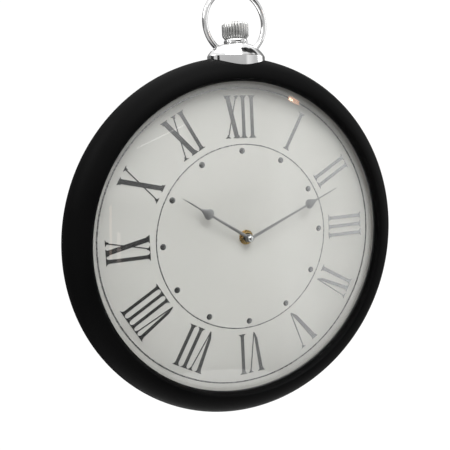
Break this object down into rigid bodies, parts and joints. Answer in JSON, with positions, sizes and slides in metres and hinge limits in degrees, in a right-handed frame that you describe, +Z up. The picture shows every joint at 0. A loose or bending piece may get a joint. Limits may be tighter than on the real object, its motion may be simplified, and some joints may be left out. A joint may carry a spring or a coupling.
{
  "type": "wall clock",
  "caption": "Round quartz wall clock shaped like a pocket watch: black half-round rim, domed glass, Roman numerals, chrome crown and hinged bow.",
  "frame": {"origin": "the point where the dial's axis meets the wall plane", "axes": "+Z up to the crown and bow, +Y into the wall along the dial's axis, +X to the right as seen from the front"},
  "size_m": [0.36, 0.0545, 0.4277],
  "materials": {
    "rim_paint": "soft-touch matte black",
    "glass": "clear, polished",
    "rubber": "matte",
    "dial": "light warm grey, satin, with mirror-foil numerals",
    "dark_plastic": "matte dark grey",
    "chrome": "polished",
    "hand_metal": "satin grey",
    "steel": "plated",
    "brass": "turned",
    "gear_plastic": "moulded off-white",
    "copper": "enamelled copper wire",
    "board": "green solder mask",
    "battery": "plain dark sleeve"
  },
  "bodies": {
    "clock_body": {"back_cover": "dark_plastic", "back_screw_1": "steel", "back_screw_2": "steel", "back_screw_3": "steel", "back_screw_4": "steel", "battery_cell": "battery", "case_rim": "rim_paint", "circuit_board": "board", "coil_bobbin": "gear_plastic", "coil_core": "steel", "coil_winding": "copper", "dial_plate": "dial", "dial_retaining_ring": "dark_plastic", "dial_washer": "brass", "glass_dome": "glass", "glass_gasket": "rubber", "hanger_plate": "steel", "hanger_rivet_left": "steel", "hanger_rivet_right": "steel", "movement_back_cover": "dark_plastic", "movement_gasket": "rubber", "movement_housing": "dark_plastic", "negative_spring": "steel", "pendant_base": "chrome", "pendant_crown": "chrome", "pendant_neck_ring": "chrome", "pendant_nut": "steel", "pendant_stud": "steel", "pendant_washer": "steel", "positive_contact": "steel", "quartz_crystal": "steel", "spacer_ring": "dark_plastic", "stator": "steel", "stem_nut": "brass", "wall_bumper_1": "rubber", "wall_bumper_2": "rubber", "wall_bumper_3": "rubber", "wall_bumper_4": "rubber"},
    "bow_body": {"bow": "chrome"},
    "minute_arm": {"centre_arbor": "steel", "minute_hand": "hand_metal", "hand_cap_nut": "steel"},
    "hour_arm": {"hour_wheel": "gear_plastic", "hour_hand": "hand_metal"},
    "minute_wheel_body": {"minute_wheel": "gear_plastic"},
    "setting_knob_body": {"setting_knob": "gear_plastic"},
    "centre_wheel_body": {"centre_wheel": "gear_plastic"},
    "third_wheel_body": {"third_wheel": "gear_plastic"},
    "fourth_wheel_body": {"fourth_wheel": "gear_plastic"},
    "fifth_wheel_body": {"fifth_wheel": "gear_plastic"},
    "rotor_body": {"rotor": "steel"}
  },
  "joints": [
    {"name": "bow_hinge", "type": "hinge", "parent": "clock_body", "child": "bow_body", "pos_m": [0, -0.0246, 0.1886], "axis": [1, 0, 0], "range_deg": [-18, 45]},
    {"name": "minute_hand_turn", "type": "hinge", "parent": "clock_body", "child": "minute_arm", "pos_m": [0, -0.03, 0], "axis": [0, 1, 0], "continuous": true},
    {"name": "hour_hand_turn", "type": "hinge", "parent": "clock_body", "child": "hour_arm", "pos_m": [0, -0.03, 0], "axis": [0, 1, 0], "continuous": true},
    {"name": "minute_wheel_turn", "type": "hinge", "parent": "clock_body", "child": "minute_wheel_body", "pos_m": [0.00752, -0.022, -0.00274], "axis": [0, 1, 0], "continuous": true},
    {"name": "setting_knob_turn", "type": "hinge", "parent": "clock_body", "child": "setting_knob_body", "pos_m": [0.01503, -0.015, 0], "axis": [0, 1, 0], "continuous": true},
    {"name": "fifth_wheel_turn", "type": "hinge", "parent": "clock_body", "child": "fifth_wheel_body", "pos_m": [0.0045, -0.014, 0.00779], "axis": [0, 1, 0], "continuous": true},
    {"name": "rotor_turn", "type": "hinge", "parent": "clock_body", "child": "rotor_body", "pos_m": [0.0087, -0.014, 0.01507], "axis": [0, 1, 0], "continuous": true},
    {"name": "fourth_wheel_turn", "type": "hinge", "parent": "clock_body", "child": "fourth_wheel_body", "pos_m": [0, -0.0165, 0], "axis": [0, 1, 0], "continuous": true},
    {"name": "third_wheel_turn", "type": "hinge", "parent": "clock_body", "child": "third_wheel_body", "pos_m": [-0.00994, -0.018, 0.00574], "axis": [0, 1, 0], "continuous": true},
    {"name": "centre_wheel_turn", "type": "hinge", "parent": "clock_body", "child": "centre_wheel_body", "pos_m": [0, -0.0197, 0], "axis": [0, 1, 0], "continuous": true}
  ],
  "couplings": [
    {"joint": "hour_hand_turn", "follows": "minute_hand_turn", "ratio": 0.083333},
    {"joint": "minute_wheel_turn", "follows": "minute_hand_turn", "ratio": -0.25},
    {"joint": "setting_knob_turn", "follows": "minute_hand_turn", "ratio": 1},
    {"joint": "rotor_turn", "follows": "fifth_wheel_turn", "ratio": -6},
    {"joint": "fourth_wheel_turn", "follows": "fifth_wheel_turn", "ratio": -0.2},
    {"joint": "third_wheel_turn", "follows": "fifth_wheel_turn", "ratio": 0.026667},
    {"joint": "centre_wheel_turn", "follows": "fifth_wheel_turn", "ratio": -0.0033333}
  ]
}
